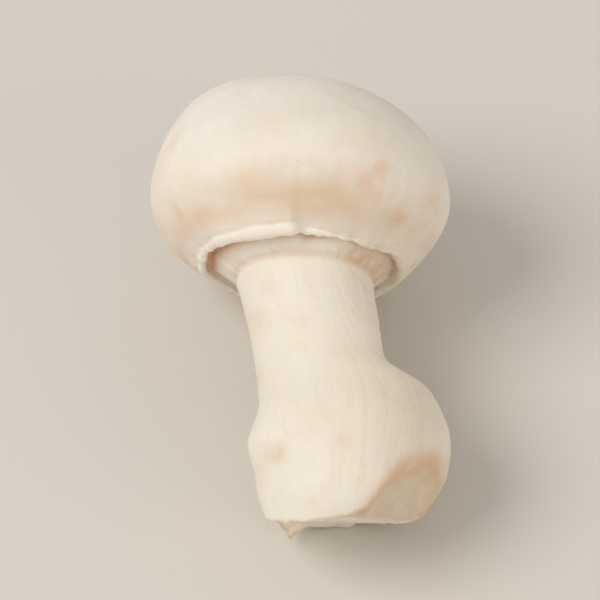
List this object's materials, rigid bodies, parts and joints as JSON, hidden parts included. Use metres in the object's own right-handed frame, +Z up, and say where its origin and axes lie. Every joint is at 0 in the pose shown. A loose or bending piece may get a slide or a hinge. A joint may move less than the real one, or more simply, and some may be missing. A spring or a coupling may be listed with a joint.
{
  "type": "button mushroom",
  "caption": "Whole white button mushroom lying on its side: domed cap, rolled margin, closed veil, bent stem with a trimmed bulbous base.",
  "frame": {"origin": "centre of the bounding box's underside, on the surface that the mushroom rests on", "axes": "+Z up from the resting surface, +Y from the trimmed base towards the crown of the cap, +X to the right seen from the base"},
  "size_m": [0.0386, 0.0616, 0.0372],
  "materials": {
    "mushroom_flesh": "satin, soft cream-white skin with peach and tan blotches"
  },
  "bodies": {
    "root": {"button_mushroom": "mushroom_flesh"}
  },
  "joints": []
}
